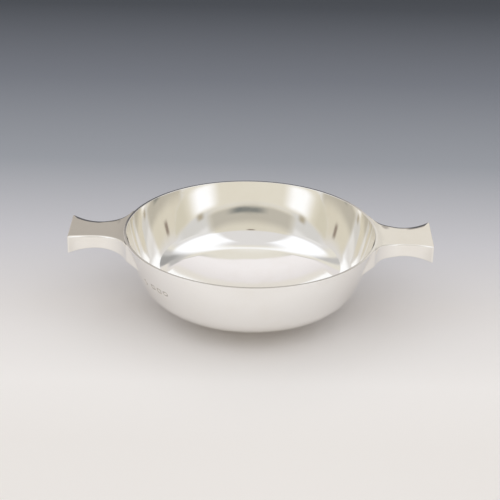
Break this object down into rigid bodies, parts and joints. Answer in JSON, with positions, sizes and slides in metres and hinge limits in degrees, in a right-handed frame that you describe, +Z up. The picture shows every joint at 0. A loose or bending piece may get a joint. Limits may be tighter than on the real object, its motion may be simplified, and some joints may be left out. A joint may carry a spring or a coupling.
{
  "type": "quaich",
  "caption": "Shallow round two-handled drinking bowl of polished sheet silver, with flat waisted lugs at the rim and a low foot ring.",
  "frame": {"origin": "centre of the circle that the foot ring stands on", "axes": "+Z up along the bowl's axis, +X through one lug, +Y away from the picture's viewer"},
  "size_m": [0.1426, 0.1, 0.0339],
  "materials": {
    "silver_bowl": "bright hand-polished sterling silver with fine hairlines",
    "silver_lugs": "bright polished sterling silver, planished flat",
    "silver_foot": "polished sterling silver, lightly rubbed where it stands",
    "silver_solder": "cleaned-up silver solder, slightly greyer than the sheet"
  },
  "bodies": {
    "root": {"bowl": "silver_bowl", "foot_ring": "silver_foot", "foot_solder": "silver_solder", "left_lug_top_plate": "silver_lugs", "left_lug_side_strip": "silver_lugs", "left_lug_under_plate": "silver_lugs", "left_lug_solder": "silver_solder", "right_lug_top_plate": "silver_lugs", "right_lug_side_strip": "silver_lugs", "right_lug_under_plate": "silver_lugs", "right_lug_solder": "silver_solder"}
  },
  "joints": []
}
